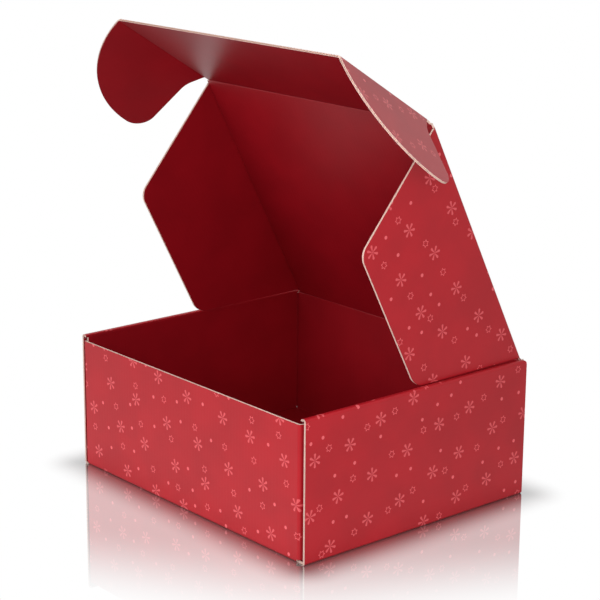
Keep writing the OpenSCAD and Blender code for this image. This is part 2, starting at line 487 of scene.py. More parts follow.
class FlatBoard:
    """A board in the making, still flat in the plane of the sheet."""

    def __init__(self, outline: Outline, joined: Chooser, cuts: Iterable[Cut] = ()) -> None:
        """Cuts a board out of the sheet.

        Args:
            outline: The board's cut line.
            joined: Tells whether a point of the cut line lies on a crease to another board.
            cuts: Cuts across the board where it folds.
        """
        self.joined = joined
        self.bm = outline.close()
        for cut in cuts:
            cut.make(self.bm)

    def punch(self, inside: Chooser) -> None:
        """Takes out the faces whose middle lies in a slot."""
        cut_out = [f for f in self.bm.faces if inside(f.calc_center_median())]
        bmesh.ops.delete(self.bm, geom=cut_out, context="FACES")

    def thicken(self) -> None:
        """Gives the sheet its thickness, opens its raw edges and lays its map."""
        rims = self.raw_lines()
        thicken_sheet(self.bm)
        self.open_raw_edges()
        self.add_medium(rims)
        lay_sheet_map(self.bm)

    def raw_lines(self) -> list[tuple[Vector, Vector, Vector]]:
        """The stretches of cut line that show flutes.

        Returns:
            For each stretch its two ends and the direction into the board.
        """
        lines = []
        for e in self.bm.edges:
            if not e.is_boundary:
                continue
            a, b = (v.co.copy() for v in e.verts)
            if self.joined((a + b) / 2):
                continue
            loop = e.link_loops[0]
            run = loop.link_loop_next.vert.co - loop.vert.co
            into = Vector((run.y, -run.x, 0)).normalized()
            lines.append((a, b, into))
        return lines

    def open_raw_edges(self) -> None:
        """Sinks the raw edges between the two liners."""
        raw = [
            f for f in self.bm.faces
            if f.material_index == Face.RAW.value and not self.joined(f.calc_center_median())
        ]
        if not raw:
            return
        bmesh.ops.inset_region(
            self.bm, faces=raw, thickness=BOARD.liner, use_even_offset=True, use_boundary=True
        )
        bmesh.ops.inset_region(
            self.bm, faces=raw, thickness=0.0, depth=-BOARD.recess, use_even_offset=True
        )

    def add_medium(self, lines: list[tuple[Vector, Vector, Vector]]) -> None:
        """Lays the fluted medium along the raw edges.

        Args:
            lines: The stretches of cut line with the direction into the board.
        """
        middle = BOARD.thickness / 2
        swing = middle - BOARD.liner - BOARD.medium / 2
        front, back = BOARD.medium_set, BOARD.recess + BOARD.medium_hold
        ribbons = bmesh.new()
        for a, b, into in lines:
            along = b - a
            steps = max(1, math.ceil(abs(along.x) / BOARD.pitch * BOARD.wave_steps))
            depth = into * (back - front)
            corner = a + into * front + Vector((0, 0, middle))
            lay = Matrix((along, depth, Vector((0, 0, 1)))).transposed().to_4x4()
            lay = Matrix.Translation(corner + (along + depth) / 2) @ lay
            bmesh.ops.create_grid(ribbons, x_segments=steps, y_segments=1, size=0.5, matrix=lay)
        for v in ribbons.verts:
            v.co.z += swing * math.cos(2 * math.pi * v.co.x / BOARD.pitch)
        bmesh.ops.solidify(ribbons, geom=ribbons.faces[:], thickness=BOARD.medium)
        for f in ribbons.faces:
            f.material_index = Face.RAW.value
        medium = bpy.data.meshes.new("medium")
        ribbons.to_mesh(medium)
        ribbons.free()
        self.bm.from_mesh(medium)
        bpy.data.meshes.remove(medium)


def put_in(thing: bpy.types.Object) -> bpy.types.Object:
    """Puts an object into the scene."""
    bpy.context.scene.collection.objects.link(thing)
    return thing


def finish_board(bm: bmesh.types.BMesh, name: str, finishes: Finishes) -> bpy.types.Object:
    """Turns a folded board into an object with soft folds and crisp cut edges.

    Args:
        bm: The board's mesh.
        name: The piece's name.
        finishes: Materials in the order of Face.

    Returns:
        The new object.
    """
    crisp = math.radians(CRISP_FROM)
    bm.normal_update()
    for f in bm.faces:
        f.smooth = True
    for e in bm.edges:
        e.smooth = len(e.link_faces) == 2 and e.calc_face_angle(0.0) < crisp
    mesh = bpy.data.meshes.new(name)
    bm.to_mesh(mesh)
    bm.free()
    for finish in finishes:
        mesh.materials.append(finish)
    piece = put_in(bpy.data.objects.new(name, mesh))
    LOG.info("%s: %d faces", name, len(mesh.polygons))
    return piece


@dataclass(frozen=True)
class CornerFold:
    """The upright turn of a panel into its corner flap, as one or two bends.

    Attributes:
        inner_r: Inside radius of each bend.
        bends: Where each bend begins across the sheet, and how many degrees it turns.
        inner_v: Where the inner ply of the side wall ends beside it.
        tongue: How far the base reaches past its fold line below it.
    """

    inner_r: float
    bends: tuple[tuple[float, float], ...]
    inner_v: float
    tongue: float = 1.8 * MM

    @classmethod
    def round(cls, box: Box, inner_r: float) -> "CornerFold":
        """A single round fold."""
        outer_r = inner_r + BOARD.thickness
        return cls(inner_r, ((box.corner_out - outer_r, 90.0),), box.half_d - outer_r)

    @classmethod
    def leaning(
        cls, box: Box, inner_r: float, start_u: float, lean: float, tongue: float
    ) -> "CornerFold":
        """A loose fold whose flap leans away from the wall at first and meets it further back.

        Args:
            box: Sizes of the box.
            inner_r: Inside radius of both bends.
            start_u: Where the first bend begins.
            lean: Degrees that the first bend leaves to the second.
            tongue: How far the base reaches past its fold line below it.

        Returns:
            The fold.
        """
        outer_r = inner_r + BOARD.thickness
        rest = math.radians(lean)
        slope = (box.corner_out - start_u - outer_r) / math.sin(rest)
        second = start_u + BOARD.bend_of(inner_r, 90.0 - lean) + slope
        met = box.half_d - outer_r - slope * math.cos(rest)
        return cls(inner_r, ((start_u, 90.0 - lean), (second, lean)), met, tongue)

    @property
    def start_u(self) -> float:
        """Where the flat panel ends."""
        return self.bends[0][0]

    @property
    def end_u(self) -> float:
        """Where the flat corner flap begins."""
        at, degrees = self.bends[-1]
        return at + BOARD.bend_of(self.inner_r, degrees)

    def cuts(self, sign: int) -> list[Cut]:
        """The cuts of its bends on one side."""
        made = [fold_cuts(True, at, sign, self.inner_r, degrees) for at, degrees in self.bends]
        return [cut for bend in made for cut in bend]

    def folds(self, sign: int, bends: Chooser) -> list[Fold]:
        """Its bends on one side, the outermost first."""
        bend = partial(Fold, outward=Vector((sign, 0, 0)), bends=bends, inner_r=self.inner_r)
        return [bend(Vector((sign * at, 0, 0)), degrees=by) for at, by in reversed(self.bends)]


@dataclass
class Tray:
    """The folded tray: base, front and back panels, rolled side walls and corner flaps."""

    box: Box
    finishes: Finishes
    wall_corner_r: float = 3 * MM
    wall_corner_steps: int = 4
    tab_l: float = 32 * MM
    tab_at: float = 46 * MM
    tab_gap: float = 0.25 * MM
    rear_fold_r: float = 1.5 * MM
    left_fold_r: float = 0.5 * MM
    right_fold_r: float = 1.0 * MM
    right_fold_u: float = 116.8 * MM
    right_lean: float = 25.0
    right_tongue: float = 0.2 * MM
    corner_l: float = 68 * MM
    corner_taper: float = 7 * MM
    corner_r: float = 6 * MM
    flap_lift: float = 0.3 * MM
    slit: float = 0.05 * MM
    fold_margin: float = 0.1 * MM
    wall_margin: float = 0.05 * MM

    def __post_init__(self) -> None:
        """Works out where the folds of the sheet lie."""
        box, fold_out, bend = self.box, BOARD.fold_out, BOARD.bend
        self.corners = {(side, 1): CornerFold.round(box, self.rear_fold_r) for side in SIGNS}
        self.corners[-1, -1] = CornerFold.round(box, self.left_fold_r)
        self.corners[1, -1] = CornerFold.leaning(
            box, self.right_fold_r, self.right_fold_u, self.right_lean, self.right_tongue
        )
        self.wall_u = box.half_w - fold_out
        self.top_u = self.wall_u + bend + box.height - 2 * fold_out
        self.roll_u = self.top_u + bend + (self.wall_u - box.inner_in - fold_out)
        self.inner_u = self.roll_u + bend
        self.tab_u = self.inner_u + box.height - fold_out - BOARD.thickness - BOARD.ply_gap
        self.end_u = self.tab_u + BOARD.thickness
        self.panel_v = box.base_fold_v + bend
        self.slot_u = (box.inner_in - self.tab_gap, box.inner_in + BOARD.thickness + self.tab_gap)
        self.slot_half = self.tab_l / 2 + self.tab_gap

    def outline(self) -> Outline:
        """Draws the whole blank of the tray, once round.

        Returns:
            The pen that drew it.
        """
        pen = Outline()
        for side in (1, -1):
            for end in (-side, side):
                path = self.flap_corner(side, end) + self.wall_end(side, end)
                if side == end:
                    path = self.tabs() + path[::-1]
                for u, v, radius in path:
                    pen.to(side * u, end * v, radius)
        return pen

    def flap_corner(self, side: int, end: int) -> list[Corner]:
        """Lays out one corner flap with the corner of the base beside it.

        Args:
            side: -1 on the left and 1 on the right.
            end: -1 at the front and 1 at the back.

        Returns:
            Its corners: distances from the middle of the sheet, and the rounding.
        """
        edge_v = self.box.front_v if end < 0 else self.box.back_v
        low_v, base_v = self.panel_v + self.flap_lift, self.box.base_fold_v
        fold = self.corners[side, end]
        start_u, flap_u, tongue_v = fold.start_u, fold.end_u, base_v + fold.tongue
        far_u = flap_u + self.corner_l
        return [
            (flap_u, edge_v, 0.0),
            (far_u, edge_v - self.corner_taper, self.corner_r),
            (far_u, low_v + self.corner_taper, self.corner_r),
            (flap_u, low_v, 0.0),
            (start_u, low_v, 0.0),
            (start_u, base_v, 0.0),
            (start_u + self.slit, base_v, 0.0),
            (start_u + self.slit, tongue_v, 0.0),
            (self.wall_u, tongue_v, 0.0),
        ]

    def wall_end(self, side: int, end: int) -> list[Corner]:
        """Lays out one cut end of a rolled wall, with its rounded top corner at the back.

        Args:
            side: -1 on the left and 1 on the right.
            end: -1 at the front and 1 at the back.

        Returns:
            Its corners, from the outer ply to the inner one.
        """
        full, inner_v = self.box.half_d, self.corners[side, end].inner_v
        top = self.round_top() if end > 0 else []
        inner = [(self.inner_u, full), (self.inner_u, inner_v), (self.tab_u, inner_v)]
        return [(u, v, 0.0) for u, v in [(self.wall_u, full), *top, *inner]]

    def round_top(self) -> list[tuple[float, float]]:
        """Unrolls the wall's rounded top corner into the sheet.

        Returns:
            Its corners, from the outer ply to the inner one.
        """
        top, r, steps = self.box.height, self.wall_corner_r, self.wall_corner_steps
        climb = []
        for i in range(steps + 1):
            z = top - BOARD.fold_out * (1 - math.sin(math.pi / 2 * i / steps))
            above = z - (top - r)
            in_v = self.box.half_d - r + math.sqrt(max(r * r - above * above, 0.0))
            climb.append((BOARD.bend * i / steps, in_v))
        rise = [(self.top_u - (r - BOARD.fold_out), self.box.half_d)]
        up = [(self.top_u + d, v) for d, v in climb]
        down = [(self.roll_u + BOARD.bend - d, v) for d, v in climb[::-1]]
        return rise + up + down

    def tabs(self) -> list[Corner]:
        """Lays out the two locking tabs at the end of an inner ply.

        Returns:
            Their corners.
        """
        corners = []
        for at in (-self.tab_at, self.tab_at):
            near, far = at - self.tab_l / 2, at + self.tab_l / 2
            rim = (self.tab_u, near), (self.end_u, near), (self.end_u, far), (self.tab_u, far)
            corners += [(u, v, 0.0) for u, v in rim]
        return corners

    def in_slot(self, p: Vector) -> bool:
        """Whether a point of the base lies in a tab's slot."""
        across = self.slot_u[0] < abs(p.x) < self.slot_u[1]
        return across and abs(abs(p.y) - self.tab_at) < self.slot_half

    def cuts(self) -> list[Cut]:
        """Lists every cut that the folds and slots of the tray need.

        Returns:
            The cuts.
        """
        cuts: list[Cut] = []
        for sign in SIGNS:
            for end in SIGNS:
                cuts += self.corners[sign, end].cuts(sign)
            for at in (self.wall_u, self.top_u, self.roll_u):
                cuts += fold_cuts(True, at, sign)
            cuts += fold_cuts(False, self.box.base_fold_v, sign)
            cuts += [Cut(True, sign * u) for u in self.slot_u]
            cuts += [Cut(False, tab + sign * self.slot_half) for tab in (-self.tab_at, self.tab_at)]
        return cuts

    def between_corners(self, flat: Vector) -> bool:
        """Whether a point lies between the corner folds of its end."""
        corner = self.corners[1 if flat.x > 0 else -1, 1 if flat.y > 0 else -1]
        return abs(flat.x) < corner.start_u + HAIR

    def in_panel(self, flat: Vector) -> bool:
        """Whether a point belongs to the front or back panel or its corner flaps."""
        begins = self.panel_v if self.between_corners(flat) else self.box.half_d
        return abs(flat.y) > begins + self.fold_margin

    def in_quarter(self, side: int, end: int, flat: Vector) -> bool:
        """Whether a point belongs to one half of the front or back panel, with its corner flap."""
        return self.in_panel(flat) and flat.x * side > 0 and flat.y * end > 0

    def in_wall(self, side: int, from_u: float, flat: Vector) -> bool:
        """Whether a point belongs to one rolled side wall, past one place across the sheet."""
        return flat.x * side > from_u and abs(flat.y) < self.box.half_d + self.wall_margin

    def in_strip(self, end: int, flat: Vector) -> bool:
        """Whether a point lies ahead of or behind the middle, between the corner folds."""
        return flat.y * end > 0 and self.between_corners(flat)

    def in_corner_flap(self, end: int, flat: Vector) -> bool:
        """Whether a point belongs to the corner flaps of one end."""
        return flat.y * end > 0 and self.in_panel(flat) and not self.between_corners(flat)

    def folds(self) -> list[Fold]:
        """Lists the folds of the tray, from the outermost to the base.

        Returns:
            The folds, in the order in which they are made.
        """
        folds = []
        for side in SIGNS:
            out_u = Vector((side, 0, 0))
            for end in SIGNS:
                folds += self.corners[side, end].folds(side, partial(self.in_quarter, side, end))
            wall = partial(self.in_wall, side, self.wall_u - HAIR)
            rolled = partial(self.in_wall, side, self.inner_u + HAIR)
            folds.append(Fold(out_u * self.roll_u, out_u, wall))
            folds += [Fold(out_u * at, out_u, wall, rolled) for at in (self.top_u, self.wall_u)]
        for end in SIGNS:
            out_v = Vector((0, end, 0))
            strip, flaps = partial(self.in_strip, end), partial(self.in_corner_flap, end)
            folds.append(Fold(out_v * self.box.base_fold_v, out_v, strip, flaps))
        return folds

    def is_lining(self, f: bmesh.types.BMFace) -> bool:
        """Finds printed faces that the roll of a wall turns to the inside of the box.

        Args:
            f: A face of the flat sheet.

        Returns:
            Whether it is one of them.
        """
        middle, printed = f.calc_center_median(), f.material_index == Face.PRINTED.value
        past_roll = abs(middle.x) > self.roll_u + BOARD.bend / 2
        return printed and past_roll and abs(middle.y) < self.box.half_d

    def on_lid_crease(self, flat: Vector) -> bool:
        """Whether a point of the cut line lies on the crease to the lid."""
        return flat.y > self.box.back_v - HAIR and abs(flat.x) < self.corners[1, 1].start_u

    def build(self) -> None:
        """Cuts, folds and dresses the tray."""
        board = FlatBoard(self.outline(), self.on_lid_crease, self.cuts())
        board.punch(self.in_slot)
        board.thicken()
        points = [(v, v.co.copy()) for v in board.bm.verts]
        # The printed faces rolled to the inside take the plain darker inside red, which carries
        # painted shade.
        for f in filter(self.is_lining, board.bm.faces):
            f.material_index = Face.PLAIN.value
        for fold in self.folds():
            fold.make(points)
        tray = finish_board(board.bm, "tray_board", self.finishes)
        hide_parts("tray")
        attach(tray, "tray")


@dataclass
class Swinger:
    """A flat board that swings on a crease."""

    name: str
    body: str
    outline: Outline
    place: Matrix
    joined: Chooser
    finishes: Finishes

    def build(self) -> None:
        """Cuts the board, puts it at its resting angle and dresses it."""
        board = FlatBoard(self.outline, self.joined)
        board.thicken()
        bmesh.ops.transform(board.bm, matrix=self.place, verts=board.bm.verts[:])
        piece = finish_board(board.bm, self.name, self.finishes)
        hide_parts(self.body)
        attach(piece, self.body)


@dataclass
class Crease:
    """The pressed crease between two boards, bent round between them at their resting angle."""

    name: str
    bodies: tuple[str, str]
    places: tuple[Matrix, Matrix]
    start: Vector
    end: Vector
    outward: Vector
    finishes: Finishes
    steps: int = 6
    pressed: float = 0.3 * MM
    press_slope: float = 1.5

    def build(self) -> None:
        """Builds the crease at its resting angle."""
        half, along = self.outward * BOARD.crease_set, self.end - self.start
        bm = bmesh.new()
        rim = (self.start - half, self.start + half, self.end + half, self.end - half)
        bm.faces.new([bm.verts.new(p) for p in rim])
        for i in range(1, self.steps):
            cut_across(bm, self.start + half * (2 * i / self.steps - 1), self.outward)
        thicken_sheet(bm)
        lay_sheet_map(bm)
        hidden = [f for f in bm.faces if abs(f.normal.dot(self.outward)) > 0.9]
        bmesh.ops.delete(bm, geom=hidden, context="FACES_ONLY")
        for v in bm.verts:
            v.co = self.bent(v.co, along)
        piece = finish_board(bm, self.name, self.finishes)
        ends_at = [self.near(self.start + along / 2, sign) for sign in SIGNS]
        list(self.bodies)
        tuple(ends_at[0])
        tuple(ends_at[1])
        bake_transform(piece)

    def near(self, on_crease: Vector, sign: int) -> Vector:
        """Finds where the crease meets one of its boards, at the middle of the board.

        Args:
            on_crease: A point of the crease's line in the sheet.
            sign: -1 for the first board and 1 for the second.

        Returns:
            The place in the frame.
        """
        flat = on_crease + self.outward * BOARD.crease_set * sign
        flat.z = BOARD.thickness / 2
        return self.places[0 if sign < 0 else 1] @ flat

    def bent(self, flat: Vector, along: Vector) -> Vector:
        """Moves a point of the flat crease to the bent one.

        Args:
            flat: The point in the sheet.
            along: The crease's direction in the sheet.

        Returns:
            Its place in the frame.
        """
        line = along.normalized()
        on_crease = self.start + line * (flat - self.start).dot(line)
        on_crease.z = BOARD.thickness / 2
        share = ((flat - self.start).dot(self.outward) / BOARD.crease_set + 1) / 2
        corner = self.places[0] @ on_crease
        a, b = self.near(on_crease, -1) - corner, self.near(on_crease, 1) - corner
        half = a.angle(b) / 2
        centre = corner + (a + b).normalized() * (BOARD.crease_set / math.cos(half))
        arm = (corner + a) - centre
        sweep = math.pi - 2 * half
        turned = Matrix.Rotation(sweep * share, 3, a.cross(b).normalized() * -1) @ arm
        depth = flat.z - BOARD.thickness / 2
        if depth > 0:
            depth -= self.pressed * max(0.0, 1 - abs(2 * share - 1) * self.press_slope)
        return centre + turned * ((arm.length - depth) / arm.length)


def plain_panel(half: float, near: float, far: float) -> Outline:
    """Draws a rectangle across the middle of the sheet, from one V to another."""
    return Outline().to(-half, near).to(half, near).to(half, far).to(-half, far)


def within(limit: float) -> Chooser:
    """Chooses the points of the sheet that lie no further than a limit from its middle line."""
    return lambda flat: abs(flat.x) < limit + HAIR


@dataclass
class Lid:
    """The lid with its side flaps, its tuck flap and the two ears."""

    box: Box
    finishes: Finishes
    flap_w: float = 91 * MM
    flap_rear_angle: float = 27.0
    flap_front_angle: float = 23.0
    flap_rear_set: float = 2.5 * MM
    flap_front_set: float = 3.5 * MM
    flap_front_r: float = 10 * MM
    flap_rear_r: float = 12 * MM
    tuck_l: float = 94 * MM
    ear_w: float = 66 * MM
    ear_crown: float = 21 * MM
    ear_crown_from: float = 0.6
    ear_crown_steps: int = 30
    ear_r: float = 14 * MM
    ear_r_steps: int = 12
    ear_set: float = 4.5 * MM
    ear_end_set: float = 0.4 * MM
    ear_notch_w: float = 14 * MM
    ear_notch: float = 11 * MM
    ear_notch_r: float = 16 * MM
    hinge_over: float = 1.6 * MM

    def lid_board(self) -> Swinger:
        """The lid panel, which is creased on all four sides.

        Returns:
            The board.
        """
        box, set_in = self.box, BOARD.crease_set
        pen = plain_panel(box.flap_x - set_in, box.hinge_v + set_in, box.tuck_v - set_in)
        return Swinger("lid_board", "lid", pen, box.lid(), lambda flat: True, self.finishes)

    def tuck_board(self) -> Swinger:
        """The tuck flap, raw at its free edge.

        Returns:
            The board.
        """
        box, set_in = self.box, BOARD.crease_set
        far = box.tuck_v + self.tuck_l
        pen = plain_panel(box.ear_x - set_in, box.tuck_v + set_in, far)

        def joined(flat: Vector) -> bool:
            """Whether a point lies on one of the three creased sides."""
            return flat.y < far - HAIR

        return Swinger("tuck_board", "tuck_flap", pen, box.tuck(), joined, self.finishes)

    def side_flap(self, side: Side) -> Swinger:
        """One side flap, with its sloped ends and rounded corners.

        Args:
            side: The side of the box.

        Returns:
            The board.
        """
        box, sign, word = self.box, side.value, side.name.lower()
        near_u, far_u = box.flap_x + BOARD.crease_set, box.flap_x + self.flap_w
        rear, front = box.hinge_v + self.flap_rear_set, box.tuck_v - self.flap_front_set

        def slope(angle: float, u: float) -> float:
            """How far a sloped edge has come in at one U."""
            return (u - box.flap_x) * math.tan(math.radians(angle))

        pen = Outline()
        pen.to(sign * near_u, rear + slope(self.flap_rear_angle, near_u))
        pen.to(sign * far_u, rear + slope(self.flap_rear_angle, far_u), self.flap_rear_r)
        pen.to(sign * far_u, front - slope(self.flap_front_angle, far_u), self.flap_front_r)
        pen.to(sign * near_u, front - slope(self.flap_front_angle, near_u))
        place, joined = box.side_flap(side), within(near_u)
        return Swinger(f"side_flap_{word}", f"lid_flap_{word}", pen, place, joined, self.finishes)

    def ear(self, side: Side) -> Swinger:
        """One ear of the tuck flap: a long arc, a small round and a notch at the root.

        Args:
            side: The side of the box.

        Returns:
            The board.
        """
        box, sign, word, near = self.box, side.value, side.name.lower(), BOARD.crease_set
        reach = self.tuck_l - self.ear_crown
        long_r = (reach * reach + self.ear_w * self.ear_w) / (2 * self.ear_w)
        sweep = math.degrees(math.asin(reach / long_r))
        ends_near = math.degrees(math.acos((near - self.ear_w + long_r) / long_r))
        pen = Outline()

        def at(away: float, ahead: float) -> Vector:
            """A point of the ear from its place away from the crease and along it."""
            return Vector((sign * (box.ear_x + away), box.tuck_v + ahead, 0))

        def crown_part(radius: float, start: float, by: float, steps: int) -> None:
            """Draws a round stretch at the crown, mirrored on the left."""
            first = start if sign > 0 else 180 - start
            pen.arc(at(self.ear_w - radius, self.ear_crown), radius, first, sign * by, steps)

        rise = (self.ear_notch - self.ear_set) / self.ear_notch_w
        root, notch = at(near, self.ear_set + near * rise), at(self.ear_notch_w, self.ear_notch)
        pen.to(root.x, root.y)
        pen.to(notch.x, notch.y, self.ear_notch_r)
        crown_part(self.ear_r, -90, 90, self.ear_r_steps)
        start = self.ear_crown_from
        crown_part(long_r, start, min(sweep, ends_near) - start, self.ear_crown_steps)
        place, joined = box.ear(side), within(box.ear_x + near)
        return Swinger(f"ear_{word}", f"tuck_ear_{word}", pen, place, joined, self.finishes)

    def creases(self) -> list[Crease]:
        """Lists the six creases of the lid and its flaps.

        Returns:
            The creases.
        """
        box, set_in, ahead = self.box, BOARD.crease_set, Vector((0, 1, 0))
        hinge_half, tuck_half = box.flap_x - set_in + self.hinge_over, box.ear_x - set_in
        flap_from, flap_to = box.hinge_v + set_in, box.tuck_v - self.flap_front_set
        ear_from, ear_to = box.tuck_v + self.ear_set, box.tuck_v + self.tuck_l - self.ear_end_set

        def crease(
            name: str, bodies: tuple[str, str], places: tuple[Matrix, Matrix],
            start: tuple[float, float], end: tuple[float, float], outward: Vector,
        ) -> Crease:
            """One crease between two places of the sheet."""
            ends = Vector((*start, 0)), Vector((*end, 0))
            return Crease(name, bodies, places, *ends, outward, self.finishes)

        made = [
            crease("crease_lid", ("tray", "lid"), (box.back_panel(), box.lid()),
                   (-hinge_half, box.hinge_v), (hinge_half, box.hinge_v), ahead),
            crease("crease_tuck", ("lid", "tuck_flap"), (box.lid(), box.tuck()),
                   (-tuck_half, box.tuck_v), (tuck_half, box.tuck_v), ahead),
        ]
        for side in Side:
            sign, word = side.value, side.name.lower()
            out, flap_u, ear_u = Vector((sign, 0, 0)), sign * box.flap_x, sign * box.ear_x
            flap, ear = (box.lid(), box.side_flap(side)), (box.tuck(), box.ear(side))
            made += [
                crease(f"crease_side_flap_{word}", ("lid", f"lid_flap_{word}"), flap,
                       (flap_u, flap_from), (flap_u, flap_to), out),
                crease(f"crease_ear_{word}", ("tuck_flap", f"tuck_ear_{word}"), ear,
                       (ear_u, ear_from), (ear_u, ear_to), out),
            ]
        return made

    def build(self) -> None:
        """Builds the lid's boards and creases."""
        boards = [self.lid_board(), self.tuck_board()]
        for side in Side:
            boards += [self.side_flap(side), self.ear(side)]
        for part in [*boards, *self.creases()]:
            part.build()


def colour(*shown: int) -> Colour:
    """Turns red, green and blue into a shader colour.

    Args:
        *shown: The three values that a screen shows, from 0 to 255.

    Returns:
        The opaque colour without the display curve.
    """
    parts = [value / 255 for value in shown]
    red, green, blue = (
        c / 12.92 if c <= 0.04045 else ((c + 0.055) / 1.055) ** 2.4 for c in parts
    )
    return (red, green, blue, 1.0)


WHITE = colour(255, 255, 255)
BLACK = colour(0, 0, 0)


class NodePen:
    """Writes shader nodes in the order in which they are read."""

    def __init__(self, owner: bpy.types.Material | bpy.types.World) -> None:
        """Empties a node tree and gives it its output.

        Args:
            owner: The new material or world.
        """
        owner.use_nodes = True
        self.owner, self.tree = owner, owner.node_tree
        self.tree.nodes.clear()
        kind = "Material" if isinstance(owner, bpy.types.Material) else "World"
        self.output = self.tree.nodes.new(f"ShaderNodeOutput{kind}")

    def node(
        self, kind: str, feeds: Feeds | None = None, **settings: str | bool
    ) -> bpy.types.Node:
        """Adds a node, sets its options and feeds its inputs.

        Args:
            kind: Type of the node.
            feeds: Its inputs by number or name, with the value or the socket for each.
            **settings: Its options by name.

        Returns:
            The node.
        """
        made = self.tree.nodes.new(kind)
        for key, value in settings.items():
            setattr(made, key, value)
        for key, value in (feeds or {}).items():
            if isinstance(value, Socket):
                self.tree.links.new(value, made.inputs[key])
            elif value is not None:
                made.inputs[key].default_value = value
        return made

    def end(self, shader: Socket) -> None:
        """Links a shader to the output."""
        self.tree.links.new(shader, self.output.inputs[0])

    def math(
        self, operation: str, a: Value, b: Value = 0.0, c: Value = 0.0, clamp: bool = False
    ) -> Socket:
        """Adds one step of arithmetic, held between 0 and 1 where clamp is true."""
        feeds = {0: a, 1: b, 2: c}
        return self.node("ShaderNodeMath", feeds, operation=operation, use_clamp=clamp).outputs[0]

    def hypotenuse(self, x: Value, y: Value) -> Socket:
        """The length of a line from its two legs."""
        squares = self.math("ADD", self.math("MULTIPLY", x, x), self.math("MULTIPLY", y, y))
        return self.math("SQRT", squares)

    def vector(self, operation: str, a: object, b: object = (0.0, 0.0, 0.0)) -> Socket:
        """Adds one step of arithmetic on vectors.

        Args:
            operation: The step.
            a: First vector.
            b: Second vector, or the factor of a SCALE.

        Returns:
            The vector or the value that it gives.
        """
        feeds = {0: a, "Scale" if operation == "SCALE" else 1: b}
        made = self.node("ShaderNodeVectorMath", feeds, operation=operation)
        return made.outputs["Value" if operation in ("LENGTH", "DOT_PRODUCT") else "Vector"]

    def split(self, vector: Socket) -> tuple[Socket, ...]:
        """The parts of a vector."""
        return tuple(self.node("ShaderNodeSeparateXYZ", {0: vector}).outputs)

    def spread(
        self, value: Value, low: Value, high: Value, to_low: Value = 0.0, to_high: Value = 1.0
    ) -> Socket:
        """Carries a value smoothly from one range to another."""
        feeds = dict(enumerate((value, low, high, to_low, to_high)))
        return self.node("ShaderNodeMapRange", feeds, interpolation_type="SMOOTHSTEP").outputs[0]

    def mix(self, share: Value, a: object, b: object) -> Socket:
        """Mixes two colours."""
        return self.node("ShaderNodeMix", {0: share, 6: a, 7: b}, data_type="RGBA").outputs[2]

    def blend(self, share: Value, a: Socket, b: Socket) -> Socket:
        """Mixes two shaders."""
        return self.node("ShaderNodeMixShader", {0: share, 1: a, 2: b}).outputs[0]

    def noise(self, vector: Socket, scale: float, detail: float = 2.0) -> Socket:
        """Smooth noise at one scale."""
        feeds = {"Vector": vector, "Scale": scale, "Detail": detail}
        return self.node("ShaderNodeTexNoise", feeds).outputs[0]

    def random(self, vector: Socket) -> bpy.types.Node:
        """A random value and colour for each cell."""
        return self.node("ShaderNodeTexWhiteNoise", {"Vector": vector}, noise_dimensions="3D")

    def sheet(self) -> Socket:
        """The point's place in the flat sheet."""
        return self.node("ShaderNodeUVMap", uv_map=SHEET_MAP).outputs[0]

    def bump(self, height: Socket, depth: float, below: Socket | None = None) -> Socket:
        """Turns a height into a bumped normal, which may lie on another one."""
        feeds = {"Strength": 1.0, "Distance": depth, "Height": height, "Normal": below}
        return self.node("ShaderNodeBump", feeds).outputs[0]

    def watched(self) -> Socket:
        """Whether a point is seen by the camera or in a mirror, as 0 or 1."""
        rays = self.node("ShaderNodeLightPath").outputs
        return self.math("MAXIMUM", rays["Is Camera Ray"], rays["Is Glossy Ray"])


@dataclass(frozen=True)
class PaperFeel:
    """What every liner shows under its ink: fine fibres and the flutes that press through."""

    fibre: float = 2600.0
    fibre_depth: float = 0.012 * MM
    board_depth: float = 0.006 * MM

    def normal(self, pen: NodePen) -> Socket:
        """The bumped normal of a liner.

        Args:
            pen: Writes the material's nodes.

        Returns:
            The normal.
        """
        sheet = pen.sheet()
        u = pen.split(sheet)[0]
        wave = pen.math("COSINE", pen.math("MULTIPLY", u, 2 * math.pi / BOARD.pitch))
        pressed = pen.bump(wave, self.board_depth)
        return pen.bump(pen.noise(sheet, self.fibre), self.fibre_depth, below=pressed)


